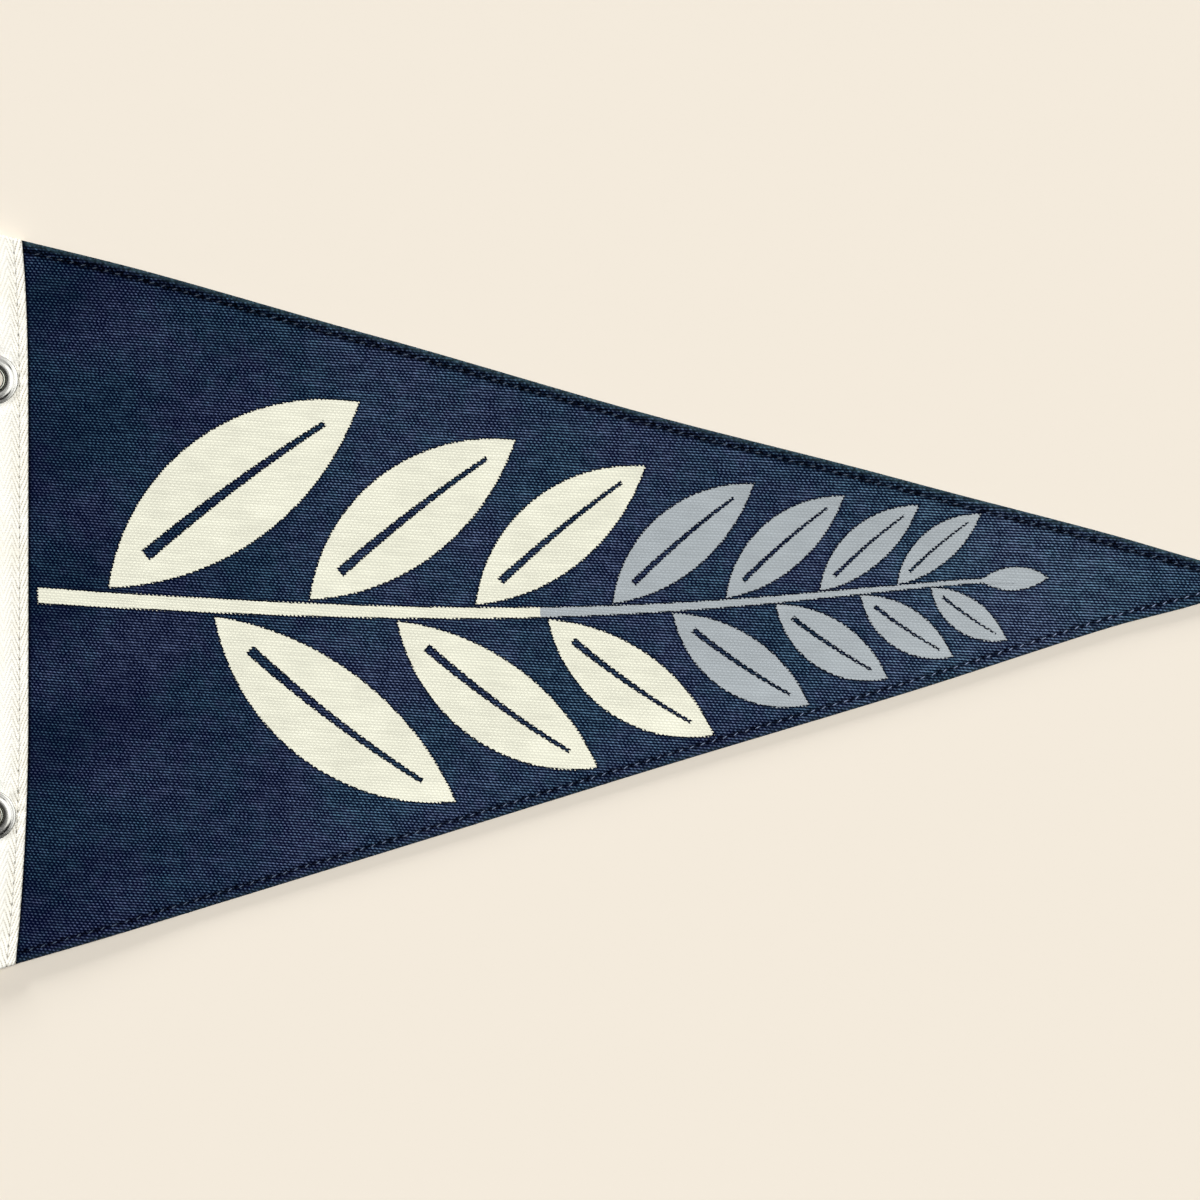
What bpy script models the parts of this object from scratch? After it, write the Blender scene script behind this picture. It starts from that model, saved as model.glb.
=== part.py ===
"""Canvas pennant: a hemmed canvas triangle with a taped heading and two eyelets.

The pennant lies flat and face up. X runs from the heading to the tip, Y across the cloth
and Z up. The sizes below are in millimetres, and the objects are in metres.
"""
import math

import bmesh
import bpy
from mathutils import Vector

MM = 0.001
GAP = 0.3                # clearance between neighbouring pieces

# Outline of the cloth
LENGTH = 386.0           # from the fold of the heading to the tip
HOIST_HEIGHT = 228.7     # across the cloth at the heading's fold
TOP_FALL = 15.24         # degrees that the top edge falls towards the tip
BOTTOM_RISE = 17.10      # degrees that the bottom edge rises towards the tip
TIP_RADIUS = 2.0
TIP_BLUNTNESS = 0.4      # width left at the very end of the tip, as a share
TIP_SECTIONS = (0.6, 0.25, 0.06, 0.0)   # sections over the rounding, as shares of its radius

# Canvas and its hems
CANVAS = 1.0             # thickness of one ply
HEM_WIDTH = 6.0
HEM_ROUNDING = 0.35
HEM_SAG = (0.0, 4.0, 8.0, 14.0)   # stations inside the hem where the field sinks to the floor
FIELD_LINES = 6          # lengthwise lines over the flat field
HEM_START = (23.0, 27.0)          # where the turned ply begins, clear of the tape
HEM_CREASE = 0.05        # thickness that the turned ply keeps inside the tape
HEM_SHARE = 0.4          # most of the cloth's width that one hem takes near the tip
ROUNDING_SHARE = 0.05    # and that its rounding takes
SAG_SHARE = 0.8          # most of the field beside a hem that sinks
STATION_STEP = 13.0

# Heading tape
TAPE_WIDTH = 22.0
TAPE = 1.0               # thickness of one ply
TAPE_FLOOR = 0.6         # the eyelets' flanges hold the heading this high
TAPE_STATIONS = 36
FOLD_STEPS = 8
CANVAS_SETBACK = 2.8     # from the tape's fold to the canvas edge inside it
SETTLE = (24.0, 80.0)    # over this stretch the canvas comes down to the floor
BOW_START = 30.0         # the heading is straight up to this height from its middle
BOW_END = 107.0
TOP_BOW = (1.8, 4.0)     # how far the heading draws back at its end, and the curve's power
BOTTOM_BOW = (3.8, 2.1)

# Eyelets: centre along the cloth and across it
EYELETS = {"upper": (11.4, 66.9), "lower": (10.7, -63.6)}
HOLE_RADIUS = 3.15
BARREL_RADIUS = 3.5
FLANGE_RADIUS = 7.3
FLANGE = 0.8             # height of the back flange
WASHER_RADIUS = 7.65
SHEET_METAL = 0.35
CURL_RADIUS = 4.0
CREST_RADIUS = 5.2       # the washer's dome is highest here
STEP_RADIUS = 6.65       # and drops to its flat rim here
DOME_RISE = 1.0
SEAT_DEPTH = 0.5         # how deep flange and washer are pressed into the tape
SEAT_RADIUS = 8.0
SPIN_STEPS = 32
SHARP_ANGLE = 50         # degrees between faces that stay a visible edge
WELD = 0.01              # points closer than this are one
PUNCH_MARGIN = 1.0       # how far the punch stands out of the tape

# Crests and hollows of the long edges
EDGE_BOWS = (
    # station, top edge outwards, bottom edge outwards
    (0.0, -0.50, -0.70),
    (60.0, 0.80, 0.05),
    (125.0, 0.10, 0.05),
    (206.0, -1.05, -0.10),
    (285.0, 0.10, 0.38),
    (346.0, 0.70, -0.45),
    (373.0, 0.25, 0.62),
    (386.0, 0.00, 0.00),
)
TOP_COLUMN = 1
BOTTOM_COLUMN = 2

# Heights of the layers in the heading
TAPE_INNER_LOW = TAPE_FLOOR + TAPE
CANVAS_LIFT = TAPE_INNER_LOW + GAP
TAPE_INNER_HIGH = CANVAS_LIFT + CANVAS + GAP
TAPE_TOP = TAPE_INNER_HIGH + TAPE
WASHER_FLOOR = TAPE_TOP - SEAT_DEPTH + GAP


def smoothstep(start, end, at):
    """Rise from 0 at start to 1 at end with level ends."""
    share = min(1.0, max(0.0, (at - start) / (end - start)))
    return share * share * (3.0 - 2.0 * share)


def edge_bow(column, station):
    """Distance of a long edge outside its straight line, from crest to hollow."""
    station = min(max(station, 0.0), LENGTH)
    for before, after in zip(EDGE_BOWS, EDGE_BOWS[1:]):
        if station <= after[0]:
            share = smoothstep(before[0], after[0], station)
            return before[column] + (after[column] - before[column]) * share
    return 0.0


def tip_share(station):
    """Share of the straight-sided width that the rounded tip keeps."""
    run = max(0.0, station - (LENGTH - TIP_RADIUS)) / TIP_RADIUS
    rounded = math.sqrt(max(0.0, 1.0 - run * run))
    return TIP_BLUNTNESS + (1.0 - TIP_BLUNTNESS) * rounded


def edges(station):
    """Heights of the bottom and the top edge at a station along the cloth."""
    top = HOIST_HEIGHT / 2 - station * math.tan(math.radians(TOP_FALL))
    bottom = -HOIST_HEIGHT / 2 + station * math.tan(math.radians(BOTTOM_RISE))
    top += edge_bow(TOP_COLUMN, station)
    bottom -= edge_bow(BOTTOM_COLUMN, station)
    middle = (top + bottom) / 2
    half = (top - bottom) / 2 * tip_share(station)
    return middle - half, middle + half


def heading_bow(height):
    """How far the heading draws back, away from the tip, towards its two ends."""
    depth, power = TOP_BOW if height > 0 else BOTTOM_BOW
    run = max(0.0, abs(height) - BOW_START) / (BOW_END - BOW_START)
    return depth * run ** power


def on_cloth(station, share):
    """X and Y of the point a share of the way from the bottom edge to the top edge."""
    bottom, top = edges(station)
    fade = 1.0 - smoothstep(TAPE_WIDTH, SETTLE[1], station)
    x = station - heading_bow(bottom + (top - bottom) * share) * fade
    bottom, top = edges(x)
    return x, bottom + (top - bottom) * share


def canvas_section(station):
    """Face and back of the canvas across a station, as shares of its width and heights."""
    bottom, top = edges(station)
    width = top - bottom
    lift = CANVAS_LIFT * (1.0 - smoothstep(SETTLE[0], SETTLE[1], station))
    turned = max(HEM_CREASE, CANVAS * smoothstep(HEM_START[0], HEM_START[1], station))
    hem = min(HEM_WIDTH, HEM_SHARE * width)
    rounding = min(HEM_ROUNDING, ROUNDING_SHARE * width)
    room = width / 2 - hem
    reach = min(HEM_SAG[-1], SAG_SHARE * room)
    sinking = turned * smoothstep(0.0, HEM_SAG[-1], room)
    high = lift + turned + CANVAS
    upper = [(0.0, high - HEM_ROUNDING), (rounding, high), (hem / 2, high), (hem, high)]
    lower = [(hem, lift + turned), (hem, lift), (rounding, lift), (0.0, lift + HEM_ROUNDING)]
    for run in HEM_SAG[1:]:
        sunk = sinking * smoothstep(0.0, HEM_SAG[-1], run)
        place = hem + reach * run / HEM_SAG[-1]
        upper.append((place, high - sunk))
        lower.insert(0, (place, lift + turned - sunk))
    field_high = upper[-1][1]
    field_low = lower[0][1]
    inner = hem + reach
    field = [inner + (width - 2 * inner) * i / (FIELD_LINES + 1) for i in range(1, FIELD_LINES + 1)]
    face = upper + [(place, field_high) for place in field]
    face += [(width - place, height) for place, height in reversed(upper)]
    back = [(width - place, height) for place, height in reversed(lower)]
    back += [(place, field_low) for place in reversed(field)]
    back += lower
    return [[(place / width, height) for place, height in side] for side in (face, back)]


def tape_section():
    """Outer and inner side of the folded tape, as stations from its fold and heights."""
    middle = (TAPE_FLOOR + TAPE_TOP) / 2
    outer = (TAPE_TOP - TAPE_FLOOR) / 2
    inner = outer - TAPE
    outside = [(TAPE_WIDTH, TAPE_TOP)]
    inside = [(TAPE_WIDTH, TAPE_INNER_LOW)]
    for step in range(FOLD_STEPS + 1):
        turn = math.pi / 2 + math.pi * step / FOLD_STEPS
        outside.append((outer + outer * math.cos(turn), middle + outer * math.sin(turn)))
        inside.append((outer + inner * math.cos(turn), middle - inner * math.sin(turn)))
    outside.append((TAPE_WIDTH, TAPE_FLOOR))
    inside.append((TAPE_WIDTH, TAPE_INNER_HIGH))
    return outside, inside


def eyelet_section():
    """Outline of an eyelet from its axis: back flange, barrel and curled front edge."""
    curl_floor = WASHER_FLOOR + SHEET_METAL + GAP
    curl_top = curl_floor + SHEET_METAL
    rim = FLANGE / 2
    return [
        (HOLE_RADIUS, rim + 0.3),
        (HOLE_RADIUS + 0.1, rim),
        (HOLE_RADIUS + 0.45, 0.15),
        (HOLE_RADIUS + 1.2, 0.0),
        (FLANGE_RADIUS - 0.6, 0.0),
        (FLANGE_RADIUS - 0.15, 0.15),
        (FLANGE_RADIUS, rim),
        (FLANGE_RADIUS - 0.1, FLANGE),
        (BARREL_RADIUS + 0.2, FLANGE),
        (BARREL_RADIUS, FLANGE + 0.2),
        (BARREL_RADIUS, curl_floor - 0.15),
        (BARREL_RADIUS + 0.3, curl_floor),
        (CURL_RADIUS, curl_floor),
        (CURL_RADIUS, curl_floor + 0.12),
        (CURL_RADIUS - 0.1, curl_top - 0.05),
        (CURL_RADIUS - 0.3, curl_top + 0.05),
        (HOLE_RADIUS + 0.25, curl_top),
        (HOLE_RADIUS + 0.1, curl_top - 0.15),
        (HOLE_RADIUS, curl_top - 0.4),
    ]


def washer_section():
    """Outline of a washer from its axis: slope up to the crest, step and flat rim."""
    inner = BARREL_RADIUS + GAP
    plate = WASHER_FLOOR + SHEET_METAL
    dome = WASHER_FLOOR + DOME_RISE
    return [
        (inner, WASHER_FLOOR),
        (WASHER_RADIUS, WASHER_FLOOR),
        (WASHER_RADIUS, WASHER_FLOOR + 0.2),
        (WASHER_RADIUS - 0.3, plate - 0.05),
        (STEP_RADIUS + 0.15, plate + 0.04),
        (STEP_RADIUS, plate + 0.12),
        (STEP_RADIUS - 0.25, plate + 0.36),
        (STEP_RADIUS - 0.8, dome - 0.1),
        (CREST_RADIUS, dome),
        (CREST_RADIUS - 0.5, dome - 0.08),
        (CREST_RADIUS - 0.75, dome - 0.3),
        (inner + 0.4, plate + 0.05),
        (inner, plate),
    ]


def cutter_section():
    """Outline of the punch for an eyelet's hole and its two pressed seats."""
    low_seat = TAPE_FLOOR + SEAT_DEPTH
    high_seat = TAPE_TOP - SEAT_DEPTH
    neck = BARREL_RADIUS + GAP + 0.05
    far = SEAT_RADIUS + 1.1
    return [
        (0.0, TAPE_FLOOR - PUNCH_MARGIN),
        (far, TAPE_FLOOR - PUNCH_MARGIN),
        (SEAT_RADIUS + 0.6, TAPE_FLOOR),
        (SEAT_RADIUS, low_seat),
        (neck, low_seat),
        (neck, high_seat),
        (SEAT_RADIUS, high_seat),
        (SEAT_RADIUS + 0.6, TAPE_TOP),
        (far, TAPE_TOP + PUNCH_MARGIN),
        (0.0, TAPE_TOP + PUNCH_MARGIN),
    ]


def new_object(name, mesh_builder, material):
    """Link an object whose mesh is the finished bmesh, with its faces pointing out."""
    bmesh.ops.recalc_face_normals(mesh_builder, faces=mesh_builder.faces)
    mesh = bpy.data.meshes.new(name)
    mesh_builder.to_mesh(mesh)
    mesh_builder.free()
    part = bpy.data.objects.new(name, mesh)
    bpy.context.scene.collection.objects.link(part)
    if material:
        mesh.materials.append(material)
    return part


def loft(name, sections, material):
    """Bridge sections, each given as its two sides in turn, into one solid.

    A strip from side to side closes each end, so that a bowed end stays bowed.
    """
    builder = bmesh.new()
    rings = []
    for first, second in sections:
        points = [builder.verts.new(Vector(point) * MM) for point in first + second]
        ring = [builder.edges.new(pair) for pair in zip(points, points[1:] + points[:1])]
        rings.append(ring)
    for before, after in zip(rings, rings[1:]):
        bmesh.ops.bridge_loops(builder, edges=before + after)
    turn = len(sections[0][0])
    for ring in (rings[0], rings[-1]):
        bmesh.ops.bridge_loops(builder, edges=ring[:turn - 1] + ring[turn:-1])
    return new_object(name, builder, material)


def turned(name, section, centre, material):
    """Spin a closed section, given as radii and heights, about an upright axis."""
    builder = bmesh.new()
    points = [builder.verts.new(Vector((radius, 0.0, height)) * MM) for radius, height in section]
    outline = [builder.edges.new(pair) for pair in zip(points, points[1:] + points[:1])]
    bmesh.ops.spin(
        builder, geom=points + outline, cent=(0, 0, 0), axis=(0, 0, 1),
        angle=math.tau, steps=SPIN_STEPS, use_merge=True,
    )
    bmesh.ops.remove_doubles(builder, verts=builder.verts, dist=WELD * MM)
    part = new_object(name, builder, material)
    part.location = (centre[0] * MM, centre[1] * MM, 0.0)
    part.data.shade_smooth()
    part.data.set_sharp_from_angle(angle=math.radians(SHARP_ANGLE))
    return part


def punch(part, cutter):
    """Cut an eyelet's hole and seats out of a piece of cloth."""
    cut = part.modifiers.new("hole of " + cutter.name, "BOOLEAN")
    cut.operation = "DIFFERENCE"
    cut.object = cutter


def material(name, colour, roughness, metallic):
    """Principled material of one colour, given as linear red, green and blue."""
    made = bpy.data.materials.new(name)
    made.use_nodes = True
    shader = made.node_tree.nodes["Principled BSDF"]
    shader.inputs["Base Color"].default_value = (*colour, 1.0)
    shader.inputs["Roughness"].default_value = roughness
    shader.inputs["Metallic"].default_value = metallic
    return made


def make_panel(canvas):
    """The canvas triangle with its two hems, lifted where the tape holds it."""
    stations = [CANVAS_SETBACK, TAPE_WIDTH / 2, TAPE_WIDTH, *HEM_START]
    count = round((LENGTH - TIP_RADIUS - HEM_START[1]) / STATION_STEP)
    step = (LENGTH - TIP_RADIUS - HEM_START[1]) / count
    stations += [HEM_START[1] + step * i for i in range(1, count + 1)]
    stations += [LENGTH - TIP_RADIUS * share for share in TIP_SECTIONS]
    sections = []
    for station in stations:
        sections.append([
            [(*on_cloth(station, 1.0 - share), height) for share, height in side]
            for side in canvas_section(station)
        ])
    return loft("pennant_panel", sections, canvas)


def make_tape(twill):
    """The heading tape, folded round the short edge of the canvas."""
    sections = []
    for i in range(TAPE_STATIONS + 1):
        share = i / TAPE_STATIONS
        sections.append([
            [(*on_cloth(station, share), height) for station, height in side]
            for side in tape_section()
        ])
    return loft("heading_tape", sections, twill)


def centre_on_origin(parts):
    """Move the parts so that their box stands centred on the origin."""
    bpy.context.view_layer.update()
    corners = []
    for part in parts:
        corners += [part.matrix_world @ vertex.co for vertex in part.data.vertices]
    low = Vector([min(corner[axis] for corner in corners) for axis in range(3)])
    high = Vector([max(corner[axis] for corner in corners) for axis in range(3)])
    shift = Vector((-(low.x + high.x) / 2, -(low.y + high.y) / 2, -low.z))
    root = bpy.data.objects.new("pennant", None)
    bpy.context.scene.collection.objects.link(root)
    root.location = shift
    return root


def main():
    for old in list(bpy.data.objects):
        bpy.data.objects.remove(old)

    canvas = material("navy cotton duck", (0.013, 0.022, 0.046), 0.9, 0.0)
    twill = material("cream herringbone tape", (0.94, 0.92, 0.82), 0.9, 0.0)
    nickel = material("nickelled brass", (0.66, 0.64, 0.60), 0.25, 1.0)

    cloth = [make_panel(canvas), make_tape(twill)]
    metal = []
    cutters = []
    for place, centre in EYELETS.items():
        metal.append(turned("eyelet_" + place, eyelet_section(), centre, nickel))
        metal.append(turned("washer_" + place, washer_section(), centre, nickel))
        cutter = turned("punch_" + place, cutter_section(), centre, None)
        cutter.hide_render = True
        cutter.display_type = "WIRE"
        cutters.append(cutter)
        for piece in cloth:
            punch(piece, cutter)

    root = centre_on_origin(cloth + metal)
    for piece in cloth + metal + cutters:
        piece.parent = root


main()
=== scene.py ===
"""Looks of a canvas pennant: printed duck, herringbone heading tape, eyelets and sewing.

Laid out as a Blender add-on and run as a script. Lengths are in metres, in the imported
frame: X runs from the heading to the tip, Y across the cloth, Z out of the printed face.
"""
import functools
import math

import bmesh
import bpy
import numpy as np
from mathutils import Matrix, Vector


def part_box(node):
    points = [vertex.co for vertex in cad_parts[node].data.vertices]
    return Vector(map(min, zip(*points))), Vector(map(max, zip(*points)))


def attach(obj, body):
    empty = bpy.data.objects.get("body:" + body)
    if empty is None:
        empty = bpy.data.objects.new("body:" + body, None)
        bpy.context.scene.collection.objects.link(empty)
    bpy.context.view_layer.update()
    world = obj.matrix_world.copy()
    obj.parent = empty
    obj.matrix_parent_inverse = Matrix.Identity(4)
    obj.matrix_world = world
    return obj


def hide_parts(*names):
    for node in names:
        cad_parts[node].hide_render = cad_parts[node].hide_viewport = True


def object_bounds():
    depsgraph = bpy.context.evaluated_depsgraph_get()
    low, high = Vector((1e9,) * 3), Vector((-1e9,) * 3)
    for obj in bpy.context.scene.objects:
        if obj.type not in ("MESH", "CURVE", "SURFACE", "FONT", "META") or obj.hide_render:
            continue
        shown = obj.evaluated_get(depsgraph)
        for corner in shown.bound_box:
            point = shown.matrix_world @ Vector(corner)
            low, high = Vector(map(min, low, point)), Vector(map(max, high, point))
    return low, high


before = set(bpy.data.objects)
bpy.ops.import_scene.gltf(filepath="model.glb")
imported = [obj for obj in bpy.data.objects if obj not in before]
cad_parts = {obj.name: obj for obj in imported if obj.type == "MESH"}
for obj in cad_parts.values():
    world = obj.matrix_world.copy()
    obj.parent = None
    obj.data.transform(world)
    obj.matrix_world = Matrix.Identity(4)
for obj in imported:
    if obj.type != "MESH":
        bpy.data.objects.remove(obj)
CAD_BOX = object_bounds()

bl_info = {
    "name": "Canvas Pennant",
    "version": (1, 0, 0),
    "blender": (4, 5, 0),
    "location": "3D Viewport > Sidebar > Pennant",
    "description": "Builds a printed canvas pennant with a taped heading and eyelets",
    "category": "Object",
}

MM = 0.001

# The cloth's own outline, measured from the fold of the heading and the middle of its height
LENGTH = 386.0 * MM
HOIST_HEIGHT = 228.7 * MM
TOP_FALL = math.radians(15.24)
BOTTOM_RISE = math.radians(17.10)
TIP_RADIUS = 2.0 * MM
TIP_BLUNTNESS = 0.4
HEADING_WIDTH = 22.0 * MM
HEADING_MIDDLE = 2.4 * MM  # height of the canvas held inside the tape
CANVAS_START = 2.8 * MM  # the canvas begins this far inside the heading's fold
SETTLE = (24.0 * MM, 80.0 * MM)  # over this stretch the canvas comes down to the floor
GRIP_END = (22.0 * MM, 28.0 * MM)  # over this one the hems spring open beside the tape
FLOOR_GAP = 0.12 * MM  # air under the canvas where it lies flat
BOW_START = 30.0 * MM  # the heading bows back beyond this height from its middle
BOW_END = 107.0 * MM
TOP_BOW = (1.8 * MM, 4.0)  # how far it has drawn back at its end, and the power
BOTTOM_BOW = (3.8 * MM, 2.1)
EYELET_PLACES = {"upper": (11.4 * MM, 66.9 * MM), "lower": (10.7 * MM, -63.6 * MM)}
PUNCH_RADIUS = 3.85 * MM  # hole in the cloth for an eyelet's barrel

# Crests and hollows of the long edges: station, top edge outwards, bottom edge outwards
EDGE_BOWS = np.array((
    (0.0, -0.50, -0.70),
    (60.0, 0.80, 0.05),
    (125.0, 0.10, 0.05),
    (206.0, -1.05, -0.10),
    (285.0, 0.10, 0.38),
    (346.0, 0.70, -0.45),
    (373.0, 0.25, 0.62),
    (386.0, 0.00, 0.00),
)) * MM

# Slow waves of the free cloth: shares of X and Y, length, how far and how often the wave
# bends, where it begins, and its height
SOFT_WAVES = (
    (1.0, 0.0, 31.0 * MM, 1.3, 45.0 * MM, 0.0, 1.0),
    (0.0, 1.0, 27.0 * MM, 0.9, 52.0 * MM, 1.1, 1.0),
    (1.0, 1.0, 19.0 * MM, 0.0, 1.0, 2.0, 0.5),
)
WAVES_SPAN = 5.0

# Dents in the cloth
HEM_GROOVE = (0.16 * MM, 0.5 * MM)  # depth and reach, under the hem's seam
TAPE_GROOVE = (0.10 * MM, 0.7 * MM)  # the same under the tape's seam
TAPE_PRESS = 0.42 * MM  # the edge of the tape is pressed this much
PRESS_RISE = (4.0 * MM, 0.4 * MM)  # over this stretch before the seam
PRESS_AT_ENDS = 0.3  # by this share at the heading's two ends
PRESS_ENDS = (6.0 * MM, 10.0 * MM)
WASHER_SEAT = 0.36 * MM  # the ring under each washer is pressed this much
SEAT_RADII = (7.9 * MM, 11.0 * MM)
PUCKER_HEIGHT = 0.14 * MM  # radial folds round each washer
PUCKER_RING = (9.5 * MM, 5.5 * MM)  # their radius and reach
PUCKER_COUNT, PUCKER_BEND = 11.0, 2.0

# Seams
SEAM_START = HEADING_WIDTH + 2.5 * MM
SEAM_STOP = 6.0 * MM  # from the tip to the hems' last stitch
HEM_SHARE = 0.4  # most of the width that a hem takes near the tip
SEAM_SHARE = 0.25  # and its seam's place there
LEAST_SAG = 0.5 * MM
HEM_STITCH = 1.7 * MM
STITCH_LEAN = 0.42  # slope of a hem stitch to its seam
LEAN_CHANGES = ((0.16, 2.4), (0.10, 5.3))  # how much it varies, and how soon
SINK_CHANGE = (0.12, 3.7)  # the same for its height, in threads
THREAD_SINK = 0.02  # height of a stitch's middle, in threads
THREAD_SPREAD = 0.55  # half of its width, in threads
TAPE_STITCH = 0.86  # share of its pitch that a tape stitch fills
TAPE_STITCH_START = 1.5  # pitches from the heading's end to the first
AHEAD = 0.002  # step along the heading that gives its direction

# Steps of the grids
COLUMN_STEPS = (2.4 * MM, 1.6 * MM)  # along the canvas, inside the tape and beyond it
TIP_SHARES = (0.75, 0.5, 0.3, 0.15, 0.05, 0.0)
TAPE_STEPS = (1.0 * MM, 0.35 * MM, 0.55 * MM)  # across the tape: back, fold and face
TAPE_ROW = 0.0035  # along it, as a share of the heading
FIELD_ROWS = 76
TURNED_SHARE, BAND_SHARE = 0.42, 0.45  # most of the width that a turned ply or band takes

# Rows along each hem, in millimetres from its fold: below zero on the turned ply at the back
HEM_ROWS = (
    -6.6, -5.2, -4.0, -3.4, -3.0, -2.6, -1.8, -1.2, -0.8, -0.55, -0.3, 0.0, 0.3, 0.55, 0.8,
    1.2, 1.8, 2.3, 2.7, 3.0, 3.3, 3.7, 4.4, 5.2, 6.2, 7.4, 9.0, 11.0, 13.5, 16.5,
)
HEM_BAND = 20.0 * MM  # strip along each hem whose rows keep their own spacing

# Wear of the turned edges: where it fades inwards, its least and what the upper hem adds
EDGE_WEAR = (0.3 * MM, 1.8 * MM)
WEAR_SHARES = (0.2, 0.6)
LOWER_SHADE_AND_WEAR = 0.25  # share of the upper hem's painted shade and added wear that the lower hem gets

# Turn of the yarns off the pennant's axis, at the heading and at the tip
YARN_SKEW = (math.radians(4.9), math.radians(2.2))

# Painted light: the cloth is painted paler along it, as a lighting gradient: how much, and over
# which stretch
LEAST_PAINTED_LIGHT = -0.10
PALING = (
    (0.24, 18.0 * MM, 62.0 * MM),
    (0.31, 80.0 * MM, 125.0 * MM),
    (0.40, 235.0 * MM, 320.0 * MM),
    (-0.25, 340.0 * MM, 368.0 * MM),
)
# Beside the heading: soft bands of painted light and shade, weakest where their swing has its
# crest
BAND_CREST, BAND_PITCH, BAND_BEND = 73.0 * MM, 45.0 * MM, 12.0 * MM
BAND_FADE = (40.0 * MM, 85.0 * MM)
BAND_STRENGTH, BAND_SWING = 0.13, 0.045
SWING_CREST, SWING_PITCH = 50.0 * MM, 140.0 * MM

# The sprig's own scale: each leaf starts this much further along, as a natural logarithm.
# Its other sizes are shares of the distance from the pennant's point.
SPRIG_STEP = 0.19
SPRIG_START = 352.0 * MM  # from the pennant's point to the first leaf
SPRIG_POINT = (394.0 * MM, 6.9 * MM)
SPRIG_TILT = math.radians(0.93)
SPRIG_BEND = (0.030, 2.6)  # how far the stem swings, as an angle, and how often
STEM_HALF = 0.0062
STEM_ENDS = (-0.25, 0.45)  # counted in leaves, before the first and past the last
LEAF_LENGTH, LEAF_WIDTH = 0.31, 0.106
LEAF_LEAN = math.radians(44)
LEAF_START = 0.016
TOP_LEAF_LENGTH, TOP_LEAF_WIDTH = 0.26, 0.09
TOP_LEAF_START = 0.4  # counted in leaves past the last
RIB_HALF, RIB_TAPER = 0.0045, -0.011
RIB_REACH = 0.36  # share of the leaf's length, each way from its middle
RAGGED_EDGE = 0.4  # millimetres by which single yarns break the ink's edge

# Noises of the surfaces: cells a metre and detail
NOISES = {
    "stray": (300.0, 1.0),  # yarns that wander
    "line": (190.0, 1.0),  # where a yarn shows between its floats
    "speck": (800.0, 0.0),  # single bright and dull floats
    "patch": (26.0, 1.0),  # broad patches of dye
    "border": (260.0, 1.0),  # and their ragged borders
    "mottle": (900.0, 1.0),  # painted shade and wear of the turned edges
    "rumple": (700.0, 1.0),  # wander of the painted crease shade along the hem's seam
    "ragged": (1100.0, 0.0),  # edge of the ink
    "ink": (90.0, 4.0),  # thin and thick ink
    "rib": (220.0, 2.0),  # ribs that wander
    "broken": (480.0, 2.0),  # ribs that hardly show
    "yellow": (60.0, 6.0),  # tape that has yellowed
    "marks": (900.0, 4.0),  # draw marks on the nickel
    "stain": (260.0, 3.0),  # and stains
}
# Ramps carry their first two values to their last two
RAMPS = {
    "slub": (0.3, 0.7, 0.90, 1.10),  # a weft yarn's thin and thick places
    "line": (0.35, 0.65, 0.0, 0.40),
    "speck": (0.3, 0.7, 0.82, 1.18),
    "tint": (0.57, 0.83, 0.0, 0.85),  # teal to violet
    # painted shade of the upper hem, turned from the light
    "hem_shade": (0.44, 0.60, 1.0, 0.1),
    "outside": (0.6 * MM, 1.6 * MM, 0.85, 0.0),  # from the turned edge to past the seam
    "pale_shift": (0.38, 0.62, 0.35, 1.0),
    "rumple": (0.3, 0.7, -0.45 * MM, 0.45 * MM),
    "crease_shade": (0.20 * MM, 1.20 * MM, 1.0, 0.0),  # painted crease shade, away from the hem's seam
    "hole": (0.0, 0.35, 1.0, 0.70),  # painted shade, from a needle's hole along a stitch
    "ink": (0.02, -0.14, 0.0, 1.0),  # into the ink, in millimetres
    "beside": (0.1, 0.60, 0.90, 0.0),  # out from the ink
    "filled": (0.0, 0.4, 0.84, 1.03),  # ink painted darker in a gap, as shade, to lighter on the top of a yarn
    "thin ink": (0.3, 0.7, 0.95, 1.04),
    "slub ink": (0.90, 1.10, 0.96, 1.03),
    "faint": (0.4 * MM, 2.8 * MM, 0.0, 0.74),  # ribs from the seam to the fold
    "broken": (0.42, 0.64, 0.0, 0.7),
    "light": (0.0, 0.50, 0.0, 1.0),  # groove to rib
    "yellow": (0.42, 0.70, 0.0, 0.45),
    "tape hole": (0.08 * MM, 0.36 * MM, 1.0, 0.0),
    "open": (0.0, 1.0, 0.45, 1.0),  # some holes have nearly closed
    "stain": (0.4, 0.75, 0.0, 0.5),
    "bright": (-1.0, 0.4, 0.55, 1.0),  # painted shade in a thread's groove to light on its ridge
    "tipwards": (-0.4 * LENGTH, 0.35 * LENGTH, 0.0, 1.0),  # the threads turn paler towards the tip
    # shadow on the canvas beside the tape
    "heading": (HEADING_WIDTH + 0.1 * MM, HEADING_WIDTH + 0.9 * MM, 0.9, 0.0),
    "sky": (0.5, 1.0, 0.005, 0.205),  # from halfway up to overhead
}
STRAY = (0.8, 0.25, 0.0)  # how far yarns wander, in pitches
SLIDE_ALONG, SLIDE_ROW = 0.08, 3.1  # how soon a weft yarn changes, along it and by row
DASH_LEAN = 0.06
DASH_ROUND, YARN_ROUND = 0.8, 2.2  # powers that shape a dash along and across it
DASH_DEPTH = 2.0  # power that darkens the gaps
PALE_LINE, PALE_GREYING = 0.32, 0.6  # how much painted paleness joins the dashes and greys them
PALE_LIFT = (1.28, 0.85)  # painted brightness gained by paleness, and to begin with
BORDER_SHARE = 0.40
STITCH_HALF = 0.5
INK_OVER_YARN = -0.50  # how far ink creeps over each dot, in millimetres
INK_HEIGHT = (0.55, 0.40)  # relief left in the ink, and its level
RIB_WANDER, RIB_SHARE, PICK_SHARE = 0.8, 0.75, 0.25
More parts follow.
